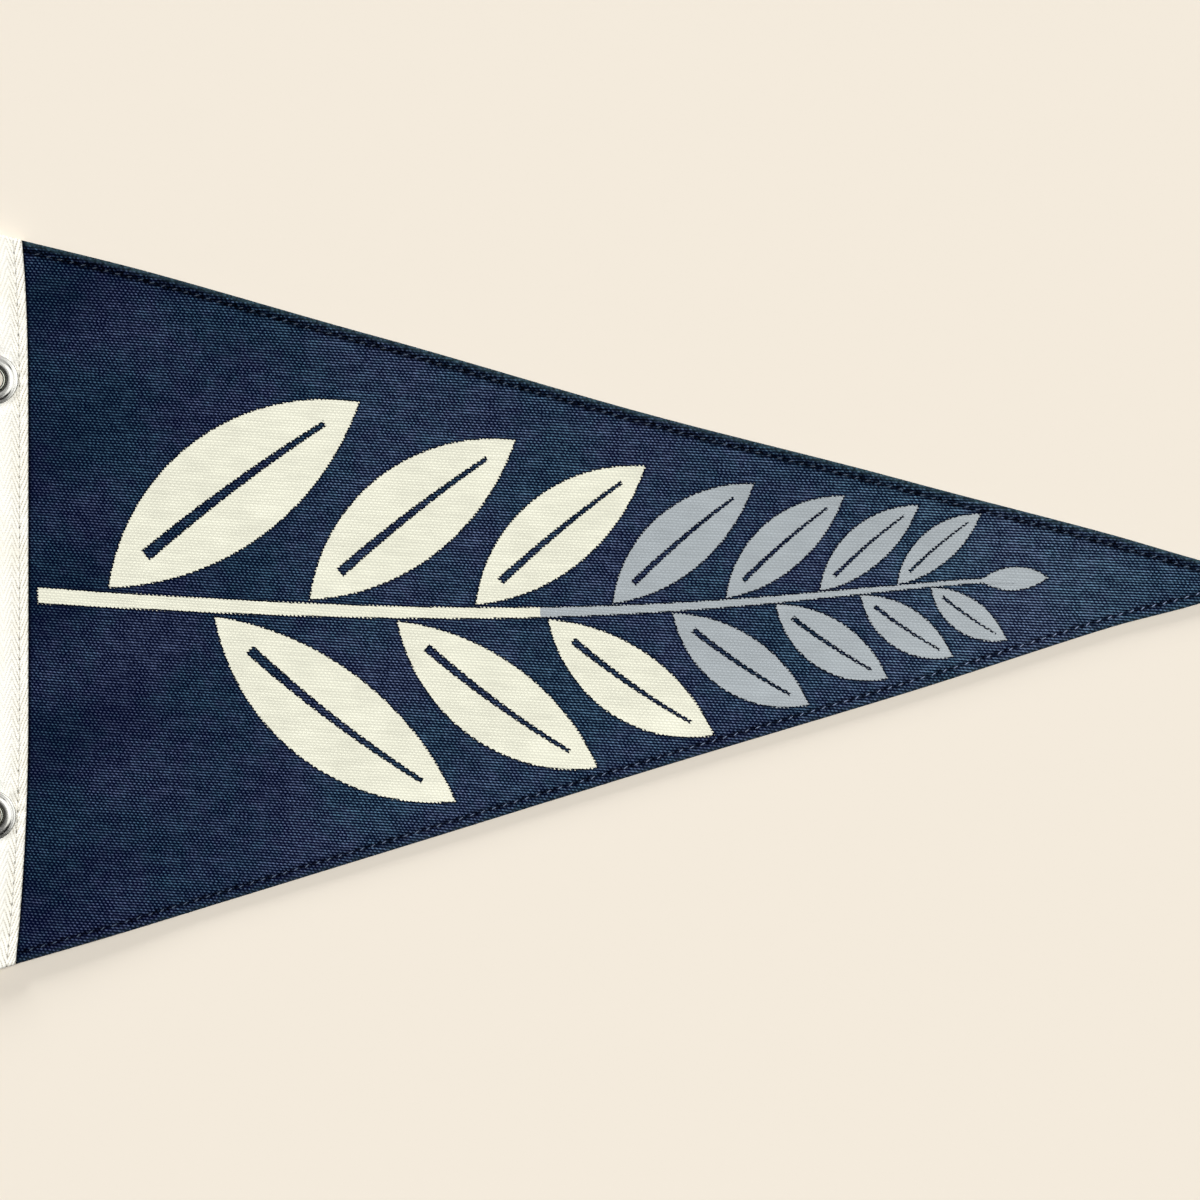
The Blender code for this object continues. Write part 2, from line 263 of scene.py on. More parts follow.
PICK = 0.78 * MM  # distance between the tape's weft yarns
HOLE_SHAPE = 0.36  # width of a hole in the tape against its length
HOLE_DEPTH = -1.2
PLATE_ROUGHNESS = (0.3, 0.7, -0.06, 0.08)  # a ramp about the roughness setting
TWIST = (0.7, 0.7, 0.2)  # direction across a thread's plies
SHADOWED = (0.06, 0.08, 0.14, 1.0)  # painted shade: multiplies the navy in a crease, on the upper hem and by the tape
INK_SHADOW = (0.08, 0.10, 0.14, 1.0)  # multiplies it beside the ink
YELLOWED = (0.93, 0.90, 0.80, 1.0)  # multiplies the tape's cream
# painted shade in the tape's needle holes
HOLE_SHADE = "#4F483C"
STAIN_COLOUR = "#8F9086"
# Strength and height of each surface's relief
DUCK_RELIEF = (1.0, 0.14 * MM)
TAPE_RELIEF = (0.8, 0.12 * MM)
PLATE_RELIEF = (0.25, 0.02 * MM)
THREAD_RELIEF = (0.6, 0.05 * MM)

# Stage
FLOOR_HALF = 8.0
FLOOR_DROP = 0.05 * MM  # keeps the floor clear of the eyelets' flanges
VIEW_CENTRE = Vector((2.53 * MM, 1.16 * MM, 2.0 * MM))  # the camera looks straight down at it
SENSOR_WIDTH = 36.0  # in millimetres, as the lens is

# The cloth's own zero, placed in the frame by the tip and the upper eyelet
PANEL_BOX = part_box("pennant_panel")
UPPER_EYELET_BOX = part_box("eyelet_upper")
UPPER_EYELET_Y = (UPPER_EYELET_BOX[0][1] + UPPER_EYELET_BOX[1][1]) / 2
FLOOR = CAD_BOX[0].z
ZERO = Vector((PANEL_BOX[1][0] - LENGTH, UPPER_EYELET_Y - EYELET_PLACES["upper"][1], FLOOR))


# Settings --------------------------------------------------------------------------------

def size_property(name, description, default):
    """A length in metres that a user may change."""
    return bpy.props.FloatProperty(
        name=name, description=description, default=default, min=0.0,
        unit="LENGTH", subtype="DISTANCE", precision=5,
    )


def colour_property(name, description, default):
    """An sRGB colour as a hex string that a user may change."""
    return bpy.props.StringProperty(name=name, description=description, default=default)


class CanvasSettings(bpy.types.PropertyGroup):
    """Sizes and colours of the navy duck."""

    ply: size_property("Ply", "Thickness of the duck", 0.70 * MM)
    fold: size_property("Hem fold", "Radius of the hem's fold", 0.50 * MM)
    pressed_fold: size_property("Pressed fold", "The same fold inside the tape", 0.38 * MM)
    hem: size_property("Hem", "Width of the turned ply", 6.0 * MM)
    seam_inset: size_property("Seam inset", "From the folded edge to the seam", 3.0 * MM)
    sag: size_property("Sag", "Over this width the field sinks from the hem", 14.0 * MM)
    swell: size_property("Swell", "Height of the field's soft waves", 0.35 * MM)
    warp_pitch: size_property("Warp pitch", "Distance between upright yarns", 0.60 * MM)
    weft_pitch: size_property("Weft pitch", "Distance between level yarns", 0.83 * MM)
    teal_yarn: colour_property("Teal yarn", "Navy yarn where the dye runs teal", "#4A6C87")
    violet_yarn: colour_property("Violet yarn", "Navy yarn where it runs violet", "#5B658A")
    # painted light: the yarn where the cloth is painted pale
    painted_pale_yarn: colour_property("Worn yarn", "Yarn where the cloth is pale", "#556877")
    worn_edge: colour_property("Worn edge", "Turned edge of the hems", "#34484D")
    # gaps: the deep navy with painted shade between the yarns
    teal_gap: colour_property("Teal gap", "Gap between yarns in the teal", "#00061D")
    violet_gap: colour_property("Violet gap", "Gap between yarns in the violet", "#00031F")


class PrintSettings(bpy.types.PropertyGroup):
    """The printed sprig, which grows smaller by the same share at each leaf."""

    cream: colour_property("Cream ink", "Ink near the heading", "#EAE9D6")
    grey: colour_property("Grey ink", "Ink near the tip", "#A9B0B4")
    leaves: bpy.props.IntProperty(name="Leaves", description="Leaves a side", default=7)
    cream_leaves: bpy.props.IntProperty(
        name="Cream leaves", description="Leaves a side in the cream ink", default=3,
    )


class TapeSettings(bpy.types.PropertyGroup):
    """Sizes and colours of the cotton herringbone tape."""

    ply: size_property("Ply", "Thickness of the tape", 0.90 * MM)
    fold: size_property("Fold", "Radius of the fold round the canvas edge", 1.35 * MM)
    wale: size_property("Wale", "Width of one herringbone column", 2.4 * MM)
    rib: size_property("Rib", "Distance between twill ribs across the tape", 1.05 * MM)
    rib_rise: size_property("Rib rise", "Distance between twill ribs along it", 3.0 * MM)
    seam_inset: size_property("Seam inset", "From the tape's edge to its seam", 2.6 * MM)
    light: colour_property("Light", "Top of a rib", "#FEFCF3")
    shade: colour_property("Shade", "Groove between ribs", "#988B6D")


class EyeletSettings(bpy.types.PropertyGroup):
    """Finish of the nickelled eyelets."""

    metal: colour_property("Nickel", "Bright nickel plate of the washers", "#B2B1AC")
    curled: colour_property("Curled nickel", "Nickel dulled by the curling tool", "#A3A59A")
    roughness: bpy.props.FloatProperty(
        name="Roughness", description="How matt the plate is", default=0.24,
        min=0.0, max=1.0, subtype="FACTOR",
    )


class SewingSettings(bpy.types.PropertyGroup):
    """Stitches along the hems and the tape."""

    hem_pitch: size_property("Hem stitch", "Distance between hem stitches", 3.3 * MM)
    tape_pitch: size_property("Tape stitch", "Distance between tape stitches", 3.2 * MM)
    thread: size_property("Thread", "Thickness of the thread", 0.34 * MM)
    navy_thread: colour_property("Navy thread", "Lower hem near the heading", "#3F5068")
    # the lower hem's thread turns to this paler colour towards the tip
    tip_thread: colour_property("Worn thread", "Lower hem near the tip", "#8090B0")
    # painted shade: the upper hem's thread is darker where it lies in the hem's crease
    shaded_thread: colour_property("Sunk thread", "Deep in the upper hem", "#2C394B")
    cream_thread: colour_property("Cream thread", "Thread of the tape", "#F6F2E6")


class StageSettings(bpy.types.PropertyGroup):
    """Floor, lights and camera."""

    floor: colour_property("Floor", "Pale warm floor", "#E8DFD1")
    view_width: size_property("View", "Width of floor that the camera sees", 360.0 * MM)
    lens: bpy.props.FloatProperty(
        name="Lens", description="Focal length in millimetres", default=100.0,
    )


# Nodes and materials ---------------------------------------------------------------------

def linear(code):
    """Linear colour with alpha from an sRGB hex string."""
    channels = [int(code[i:i + 2], 16) / 255 for i in (1, 3, 5)]
    curve = [c / 12.92 if c <= 0.04045 else ((c + 0.055) / 1.055) ** 2.4 for c in channels]
    return (*curve, 1.0)


def add_node(tree, kind, *inputs, named=None, **settings):
    """Add a node with its settings, and set or link its inputs in use by order or by name.

    The operation of a maths node, or a mix's data type, comes before its inputs. A node
    given as an input is linked from its first output in use.
    """
    made = tree.nodes.new("ShaderNode" + kind)
    if inputs and isinstance(inputs[0], str):
        setattr(made, "data_type" if kind == "Mix" else "operation", inputs[0])
        inputs = inputs[1:]
    for name, value in settings.items():
        setattr(made, name, value)
    in_use = [socket for socket in made.inputs if socket.enabled]
    by_name = [(made.inputs[name], value) for name, value in (named or {}).items()]
    for socket, value in [*zip(in_use, inputs), *by_name]:
        if isinstance(value, bpy.types.Node):
            value = next(output for output in value.outputs if output.enabled)
        if isinstance(value, bpy.types.NodeSocket):
            tree.links.new(value, socket)
        elif value is not None:
            socket.default_value = value
    return made


def new_material(name):
    """Empty node material, and the function that adds a node to it."""
    made = bpy.data.materials.new(name)
    made.use_nodes = True
    made.node_tree.nodes.clear()
    return made, functools.partial(add_node, made.node_tree)


def add_weave(add, settings, pale):
    """Plain weave over the cloth's own map, drawn as leaning dashes.

    A weft yarn shows as a dash wherever it floats over a warp yarn, so the dashes stand in
    a chequer of two warp pitches by two weft pitches. Where the cloth is painted pale, as
    painted light, the yarn shows between its floats as well, as a line. Gives the map, the
    floats with those lines, the bare dots without them, and the yarns' thick and thin places.
    """
    grain = add("UVMap", uv_map="grain")
    stray = add("TexNoise", grain, *NOISES["stray"]).outputs["Color"]
    stray = add("VectorMath", "SUBTRACT", stray, (0.5, 0.5, 0.5))
    stray = add("VectorMath", "MULTIPLY", stray, STRAY)
    counts = (1 / settings.warp_pitch, 1 / settings.weft_pitch, 0.0)
    yarns = add("VectorMath", "MULTIPLY_ADD", grain, counts, stray)
    warp_count, weft_count, _ = add("SeparateXYZ", yarns).outputs
    # Each weft yarn slides a little against the next, and has thick and thin places
    row = add("Math", "ROUND", weft_count)
    row = add("Math", "MULTIPLY", row, SLIDE_ROW)
    along = add("Math", "MULTIPLY", warp_count, SLIDE_ALONG)
    uneven = add("TexNoise", add("CombineXYZ", along, row), 1.0, 0.0)
    slide, thick, _ = add("SeparateColor", uneven.outputs["Color"]).outputs
    slubs = add("MapRange", thick, *RAMPS["slub"])
    warp = add("Math", "ADD", slide, warp_count)
    warp = add("Math", "MULTIPLY", warp, math.pi)
    parity = weft_count
    for operation, *amount in (("MULTIPLY", math.pi), ("COSINE",), ("SIGN",)):
        parity = add("Math", operation, parity, *amount)
    over = add("Math", "COSINE", warp)
    for operation, *amount in (
        ("MULTIPLY", parity), ("MULTIPLY_ADD", 0.5, 0.5), ("POWER", DASH_ROUND),
    ):
        over = add("Math", operation, over, *amount)
    lean = add("Math", "SINE", warp)
    lean = add("Math", "MULTIPLY", lean, parity)
    weft = add("Math", "MULTIPLY_ADD", lean, DASH_LEAN, weft_count)
    for operation, *amount in (
        ("MULTIPLY", math.pi), ("COSINE",), ("ABSOLUTE",), ("POWER", YARN_ROUND),
    ):
        weft = add("Math", operation, weft, *amount)
    dots = add("Math", "MULTIPLY", over, weft)
    line = add("MapRange", add("TexNoise", grain, *NOISES["line"]), *RAMPS["line"])
    line = add("Math", "MULTIPLY_ADD", pale, PALE_LINE, line)
    over = add("Mix", "FLOAT", line, over, 1.0)
    floats = add("Math", "MULTIPLY", over, weft)
    return grain, floats, dots, slubs


def add_dye(add, settings, grain, pale, floats, slubs):
    """Navy of the yarns and gaps, with painted paleness, before painted crease shade and wear.
    """
    specks = add("MapRange", add("TexNoise", grain, *NOISES["speck"]), *RAMPS["speck"])
    dash = floats
    for operation, amount in (("MULTIPLY", slubs), ("MULTIPLY", specks), ("POWER", DASH_DEPTH)):
        dash = add("Math", operation, dash, amount)
    # Uneven dye: broad patches with ragged borders run from teal to violet
    patch, border = [add("TexNoise", grain, *NOISES[name]) for name in ("patch", "border")]
    tint = add("Math", "MULTIPLY_ADD", border, BORDER_SHARE, patch)
    tint = add("MapRange", tint, *RAMPS["tint"])
    # The gaps between yarns are the deep navy with painted shade
    gap, yarn = [
        add("Mix", "RGBA", tint, linear(teal), linear(violet))
        for teal, violet in (
            (settings.teal_gap, settings.violet_gap),
            (settings.teal_yarn, settings.violet_yarn),
        )
    ]
    # Painted light: where the cloth is painted pale its yarn turns greyer and brighter
    ink_wear_and_greying = add("Math", "MULTIPLY", pale, PALE_GREYING)
    yarn = add("Mix", "RGBA", ink_wear_and_greying, yarn, linear(settings.painted_pale_yarn))
    lift = add("Math", "MULTIPLY_ADD", pale, *PALE_LIFT)
    yarn = add("VectorMath", "SCALE", yarn, lift)
    return add("Mix", "RGBA", dash, gap, yarn)


def add_hems(add, settings, grain, navy):
    """Painted shade and wear of the hems, painted shadow by the tape, over the weave's navy."""
    upper, hem = [
        add("Attribute", attribute_name=attribute).outputs[output]
        for attribute, output in (("upper", "Fac"), ("hem", "Vector"))
    ]
    aside, stitch, edge = add("SeparateXYZ", hem).outputs
    # Painted shade: the upper hem turns from the light, so its yarns hardly show
    mottle = add("TexNoise", grain, *NOISES["mottle"])
    hem_shade = add("MapRange", mottle, *RAMPS["hem_shade"])
    outside = add("MapRange", aside, *RAMPS["outside"])
    for limit in (upper, outside):
        hem_shade = add("Math", "MULTIPLY", hem_shade, limit)
    navy = add("Mix", "RGBA", hem_shade, navy, SHADOWED, blend_type="MULTIPLY")
    # The turned edge is worn to a flat olive
    pale_shift = add("MapRange", mottle, *RAMPS["pale_shift"])
    pale_shift = add("Math", "MULTIPLY", pale_shift, edge)
    navy = add("Mix", "RGBA", pale_shift, navy, linear(settings.worn_edge))
    # Painted shade in the crease that the seam pulls into the hem, darkest at the needle's
    # holes
    rumple = add("MapRange", add("TexNoise", grain, *NOISES["rumple"]), *RAMPS["rumple"])
    crease_shade = add("Math", "ADD", aside, rumple)
    crease_shade = add("Math", "ABSOLUTE", crease_shade)
    crease_shade = add("MapRange", crease_shade, *RAMPS["crease_shade"], interpolation_type="SMOOTHSTEP")
    hole = add("Math", "PINGPONG", stitch, STITCH_HALF)
    hole = add("MapRange", hole, *RAMPS["hole"])
    crease_shade = add("Math", "MULTIPLY", crease_shade, hole)
    # Hardly any light reaches the canvas at the tape's edge
    heading = add("MapRange", add("SeparateXYZ", grain), *RAMPS["heading"])
    crease_shade = add("Math", "MAXIMUM", crease_shade, heading)
    return add("Mix", "RGBA", crease_shade, navy, SHADOWED, blend_type="MULTIPLY")


def make_canvas_material(settings, print_settings, name, printed):
    """Cotton duck, dyed navy: matt, with paler yarn floats over near-black gaps."""
    made, add = new_material(name)
    pale = add("Attribute", attribute_name="pale").outputs["Fac"]
    grain, floats, dots, slubs = add_weave(add, settings, pale)
    navy = add_dye(add, settings, grain, pale, floats, slubs)
    colour, height = add_hems(add, settings, grain, navy), floats
    if printed:
        colour, height = add_print(add, print_settings, grain, floats, dots, slubs, colour)
    bump = add("Bump", *DUCK_RELIEF, None, height)
    add("OutputMaterial", add("BsdfPrincipled", named={
        "Base Color": colour, "Normal": bump, "Roughness": 0.95, "Specular IOR Level": 0.02}))
    return made


def add_pointed(add, along, across, length, width):
    """Signed distance to a pointed leaf about its middle, where two equal circles overlap."""
    radius = (length ** 2 + width ** 2) / (4 * width)
    sunk = add("Math", "ADD", across, radius - width / 2)
    reach = add("CombineXYZ", along, sunk)
    reach = add("VectorMath", "LENGTH", reach)
    return add("Math", "SUBTRACT", reach, radius)


def add_leaf(add, cells, angle, number):
    """Signed distance to one pointed leaf with a bare midrib, in the sprig's own scale.

    Its base is on the stem at the whole cell counted back by `number`, and it leans out
    towards the tip. Gives the leaf's own count as well.
    """
    base = add("Math", "FLOOR", cells)
    run = cells
    for operation, amount in (
        ("SUBTRACT", base), ("ADD", float(number)), ("MULTIPLY", SPRIG_STEP),
    ):
        run = add("Math", operation, run, amount)
    cos, sin = math.cos(LEAF_LEAN), math.sin(LEAF_LEAN)
    along = add("Math", "MULTIPLY_ADD", angle, sin, -LEAF_START - LEAF_LENGTH / 2)
    along = add("Math", "MULTIPLY_ADD", run, cos, along)
    across = add("Math", "MULTIPLY", angle, cos)
    across = add("Math", "MULTIPLY_ADD", run, -sin, across)
    across = add("Math", "ABSOLUTE", across)
    leaf = add_pointed(add, along, across, LEAF_LENGTH, LEAF_WIDTH)
    rib = add("Math", "MULTIPLY_ADD", along, RIB_TAPER, RIB_HALF)
    rib = add("Math", "SUBTRACT", rib, across)
    stop = add("Math", "ABSOLUTE", along)
    stop = add("Math", "SUBTRACT", RIB_REACH * LEAF_LENGTH, stop)
    rib = add("Math", "MINIMUM", rib, stop)
    leaf = add("Math", "MAXIMUM", leaf, rib)
    return leaf, add("Math", "SUBTRACT", base, float(number))


def add_sprig(add, settings):
    """Signed distance to the whole sprig, in millimetres, and the count of the nearest leaf.

    The sprig's map counts leaves along its stem and gives the angle off the stem, both as
    seen from the pennant's point, so that each leaf is a smaller copy of the last.
    """
    sprig = add("Attribute", attribute_name="sprig")
    cells, angle, scale = add("SeparateXYZ", sprig.outputs["Vector"]).outputs
    # The lower leaves stand half a cell further along than the upper ones
    lower = add("Math", "LESS_THAN", angle, 0.0)
    cells_here = add("Math", "MULTIPLY_ADD", lower, -0.5, cells)
    off_stem = add("Math", "ABSOLUTE", angle)
    leaves = []
    for number in (0, 1):
        leaf, count = add_leaf(add, cells_here, off_stem, number)
        low = add("Math", "LESS_THAN", count, -0.5)
        high = add("Math", "GREATER_THAN", count, settings.leaves - 0.5)
        missing = add("Math", "MAXIMUM", low, high)
        leaves.append((add("Math", "MULTIPLY_ADD", missing, 1.0, leaf), count))
    (nearest, count), (other, other_count) = leaves
    closer = add("Math", "LESS_THAN", other, nearest)
    nearest = add("Math", "MINIMUM", other, nearest)
    count = add("Mix", "FLOAT", closer, count, other_count)
    stem = add("Math", "SUBTRACT", off_stem, STEM_HALF)
    for ends in ((STEM_ENDS[0], cells), (cells, settings.leaves + STEM_ENDS[1])):
        limit = add("Math", "SUBTRACT", *ends)
        limit = add("Math", "MULTIPLY", limit, SPRIG_STEP)
        stem = add("Math", "MAXIMUM", stem, limit)
    shoot = add("Math", "ADD", cells, -(settings.leaves + TOP_LEAF_START))
    shoot = add("Math", "MULTIPLY_ADD", shoot, SPRIG_STEP, -TOP_LEAF_LENGTH / 2)
    top_leaf = add_pointed(add, shoot, off_stem, TOP_LEAF_LENGTH, TOP_LEAF_WIDTH)
    stem = add("Math", "MINIMUM", stem, top_leaf)
    on_stem = add("Math", "LESS_THAN", stem, nearest)
    count = add("Mix", "FLOAT", on_stem, count, cells)
    whole = add("Math", "MINIMUM", nearest, stem)
    whole = add("Math", "MULTIPLY", whole, scale)
    return add("Math", "MULTIPLY", whole, 1 / MM), count


def add_print(add, settings, grain, floats, dots, slubs, cloth):
    """Screen ink over the weave: a leafy sprig, cream by the heading and grey by the tip.

    The ink's edge follows whole yarns. Gives the colour and the height of the surface.
    """
    whole, count = add_sprig(add, settings)
    ragged = add("TexNoise", grain, *NOISES["ragged"])
    ragged = add("Math", "ADD", ragged, -0.5)
    whole = add("Math", "MULTIPLY_ADD", ragged, RAGGED_EDGE, whole)
    whole = add("Math", "MULTIPLY_ADD", dots, INK_OVER_YARN, whole)
    ink = add("MapRange", whole, *RAMPS["ink"])
    # The ink's thickness stands over the yarns beside it and darkens them
    beside = add("MapRange", whole, *RAMPS["beside"])
    cloth = add("Mix", "RGBA", beside, cloth, INK_SHADOW, blend_type="MULTIPLY")
    grey = add("Math", "GREATER_THAN", count, settings.cream_leaves - 0.5)
    inks = add("Mix", "RGBA", grey, linear(settings.cream), linear(settings.grey))
    # The ink is painted darker in the gaps and lighter on the yarns' tops, as the weave's light
    # and shade
    relief = add("MapRange", dots, *RAMPS["filled"])
    thin = add("TexNoise", grain, *NOISES["ink"])
    for source, ramp in ((thin, "thin ink"), (slubs, "slub ink")):
        ink_wear_and_greying = add("MapRange", source, *RAMPS[ramp])
        relief = add("Math", "MULTIPLY", relief, ink_wear_and_greying)
    inks = add("VectorMath", "SCALE", inks, relief)
    colour = add("Mix", "RGBA", ink, cloth, inks)
    # Ink fills the gaps between yarns, so the relief is softer there
    filled = add("Math", "MULTIPLY_ADD", dots, *INK_HEIGHT)
    return colour, add("Mix", "FLOAT", ink, floats, filled)


def add_ribs(add, settings, grain):
    """Herringbone ribs from 0 in a groove to 1 on top, crossed by the weft yarns' rows."""
    across, along, _ = add("SeparateXYZ", grain).outputs
    turn = add("Math", "PINGPONG", across, settings.wale)
    turn = add("Math", "MULTIPLY", turn, 1 / settings.rib)
    turn = add("Math", "MULTIPLY_ADD", along, 1 / settings.rib_rise, turn)
    wander = add("TexNoise", grain, *NOISES["rib"])
    turn = add("Math", "MULTIPLY_ADD", wander, RIB_WANDER, turn)
    ribs = turn
    for operation, *amount in (("MULTIPLY", math.tau), ("COSINE",), ("MULTIPLY_ADD", 0.5, 0.5)):
        ribs = add("Math", operation, ribs, *amount)
    picks = along
    for operation, *amount in (
        ("MULTIPLY", math.pi / PICK), ("SINE",), ("ABSOLUTE",), ("MULTIPLY", PICK_SHARE),
    ):
        picks = add("Math", operation, picks, *amount)
    return add("Math", "MULTIPLY_ADD", ribs, RIB_SHARE, picks)


def add_needle_holes(add, sewing, aside, along):
    """Long dimples painted dark as shade where each stitch of the tape ends, some nearly
    closed.
    """
    hole_row = add("Math", "PINGPONG", along, sewing.tape_pitch / 2)
    hole_row = add("Math", "MULTIPLY", hole_row, HOLE_SHAPE)
    spot = add("VectorMath", "LENGTH", add("CombineXYZ", aside, hole_row))
    hole = add("MapRange", spot, *RAMPS["tape hole"])
    number = add("Math", "MULTIPLY_ADD", along, 1 / sewing.tape_pitch, 0.5)
    number = add("Math", "FLOOR", number)
    chance = add("TexWhiteNoise", number, noise_dimensions="1D")
    chance = add("MapRange", chance, *RAMPS["open"])
    return add("Math", "MULTIPLY", hole, chance)


def make_tape_material(settings, sewing):
    """Bleached cotton herringbone tape: soft steep ribs that meet in points."""
    made, add = new_material("bleached cotton herringbone tape")
    grain = add("UVMap", uv_map="grain")
    ribs = add_ribs(add, settings, grain)
    seam = add("Attribute", attribute_name="seam")
    aside, along, _ = add("SeparateXYZ", seam.outputs["Vector"]).outputs
    # The seam pulls the cloth tight, so the ribs stand out beside it and fade to the fold
    foldwards = add("Math", "MULTIPLY", aside, -1.0)
    faint = add("MapRange", foldwards, *RAMPS["faint"])
    broken = add("MapRange", add("TexNoise", grain, *NOISES["broken"]), *RAMPS["broken"])
    faint = add("Math", "MAXIMUM", faint, broken)
    light = add("MapRange", ribs, *RAMPS["light"])
    light = add("Mix", "FLOAT", faint, light, 1.0)
    colour = add("Mix", "RGBA", light, linear(settings.shade), linear(settings.light))
    yellow = add("MapRange", add("TexNoise", grain, *NOISES["yellow"]), *RAMPS["yellow"])
    colour = add("Mix", "RGBA", yellow, colour, YELLOWED, blend_type="MULTIPLY")
    hole = add_needle_holes(add, sewing, aside, along)
    # Painted shade in the needle holes
    colour = add("Mix", "RGBA", hole, colour, linear(HOLE_SHADE))
    height = add("Math", "MULTIPLY_ADD", hole, HOLE_DEPTH, ribs)
    bump = add("Bump", *TAPE_RELIEF, None, height)
    add("OutputMaterial", add("BsdfPrincipled", named={
        "Base Color": colour, "Normal": bump, "Roughness": 0.88,
        "Specular IOR Level": 0.3, "Sheen Weight": 0.1}))
    return made


def make_nickel(settings, name, code):
    """Nickel plate on pressed brass: clear reflections with fine draw marks."""
    made, add = new_material(name)
    place = add("TexCoord").outputs["Object"]
    marks = add("TexNoise", place, *NOISES["marks"])
    stain = add("MapRange", add("TexNoise", place, *NOISES["stain"]), *RAMPS["stain"])
    tone = add("Mix", "RGBA", stain, linear(code), linear(STAIN_COLOUR))
    start, end, least, most = PLATE_ROUGHNESS
    rough = add("MapRange", marks, start, end,
                settings.roughness + least, settings.roughness + most)
    bump = add("Bump", *PLATE_RELIEF, None, marks)
    add("OutputMaterial", add("BsdfPrincipled", named={
        "Base Color": tone, "Roughness": rough, "Normal": bump, "Metallic": 1.0}))
    return made


def make_thread(name, code, tip_code, settings):
    """Spun cotton-wrapped thread: two plies twisted into slanting ridges."""
    made, add = new_material(name)
    place = add("TexCoord").outputs["Object"]
    twist = add("VectorMath", "DOT_PRODUCT", place, TWIST)
    twist = add("Math", "MULTIPLY", twist, math.tau / settings.thread)
    ridges = add("Math", "SINE", twist)
    # The thread turns paler towards the tip
    pale_shift = add("MapRange", add("SeparateXYZ", place), *RAMPS["tipwards"])
    bright = add("Mix", "RGBA", pale_shift, linear(code), linear(tip_code))
    # Painted shade in the grooves between the plies
    depth = add("MapRange", ridges, *RAMPS["bright"])
    tone = add("VectorMath", "SCALE", bright, depth)
    bump = add("Bump", *THREAD_RELIEF, None, ridges)
    add("OutputMaterial", add("BsdfPrincipled", named={
        "Base Color": tone, "Normal": bump, "Roughness": 0.7, "Sheen Weight": 0.15}))
    return made


# Shape of the cloth ----------------------------------------------------------------------

def smoothstep(start, end, at):
    """Rise from 0 at start to 1 at end with level ends."""
    share = np.clip((at - start) / (end - start), 0.0, 1.0)
    return share * share * (3.0 - 2.0 * share)


def bump_at(reach, away):
    """Rounded bump from 1 at no distance away to nothing beyond its reach."""
    return np.exp(-(away / reach) ** 2)


def edge_bow(column, station):
    """Distance of a long edge outside its straight line, from crest to hollow."""
    bow = np.zeros_like(station)
    for before, after in zip(EDGE_BOWS, EDGE_BOWS[1:]):
        here = (station >= before[0]) & (station <= after[0])
        eased = smoothstep(before[0], after[0], station)
        bow = np.where(here, before[column] + (after[column] - before[column]) * eased, bow)
    return np.where(station < 0.0, EDGE_BOWS[0][column], bow)


def edges(station):
    """Heights of the bottom and the top edge at stations along the cloth."""
    top = HOIST_HEIGHT / 2 - station * math.tan(TOP_FALL) + edge_bow(1, station)
    bottom = -HOIST_HEIGHT / 2 + station * math.tan(BOTTOM_RISE) - edge_bow(2, station)
    run = np.clip((station - LENGTH + TIP_RADIUS) / TIP_RADIUS, 0.0, 1.0)
    kept = TIP_BLUNTNESS + (1.0 - TIP_BLUNTNESS) * np.sqrt(1.0 - run * run)
    middle, half = (top + bottom) / 2, (top - bottom) / 2 * kept
    return middle - half, middle + half


def heading_bow(height):
    """How far the heading draws back, away from the tip, towards its two ends."""
    run = np.maximum(0.0, np.abs(height) - BOW_START) / (BOW_END - BOW_START)
    upper, lower = [bow * run ** power for bow, power in (TOP_BOW, BOTTOM_BOW)]
    return np.where(height > 0, upper, lower)


def on_cloth(station, share):
    """X and Y of the point a share of the way from the bottom edge to the top edge."""
    bottom, top = edges(station)
    fade = 1.0 - smoothstep(HEADING_WIDTH, SETTLE[1], station)
    x = station - heading_bow(bottom + (top - bottom) * share) * fade
    bottom, top = edges(x)
    return x, bottom + (top - bottom) * share


def soft_waves(x, y):
    """Slow unevenness of cloth that lies free, from 0 to 1."""
    waves = 0.0
    for share_x, share_y, length, bend, bend_length, start, height in SOFT_WAVES:
        along, across = share_x * x + share_y * y, share_y * x + share_x * y
        bent = along / length + bend * np.sin(across / bend_length) + start
        waves = waves + height * np.sin(bent)
    return np.clip(0.5 + waves / WAVES_SPAN, 0.0, 1.0)


def fold_round(radius, across):
    """Turn of a fold at a distance across it, and the flat run beyond the fold."""
    turn = np.clip(across / radius, -math.pi / 2, math.pi / 2)
    return turn, np.maximum(np.abs(across) - radius * math.pi / 2, 0.0)


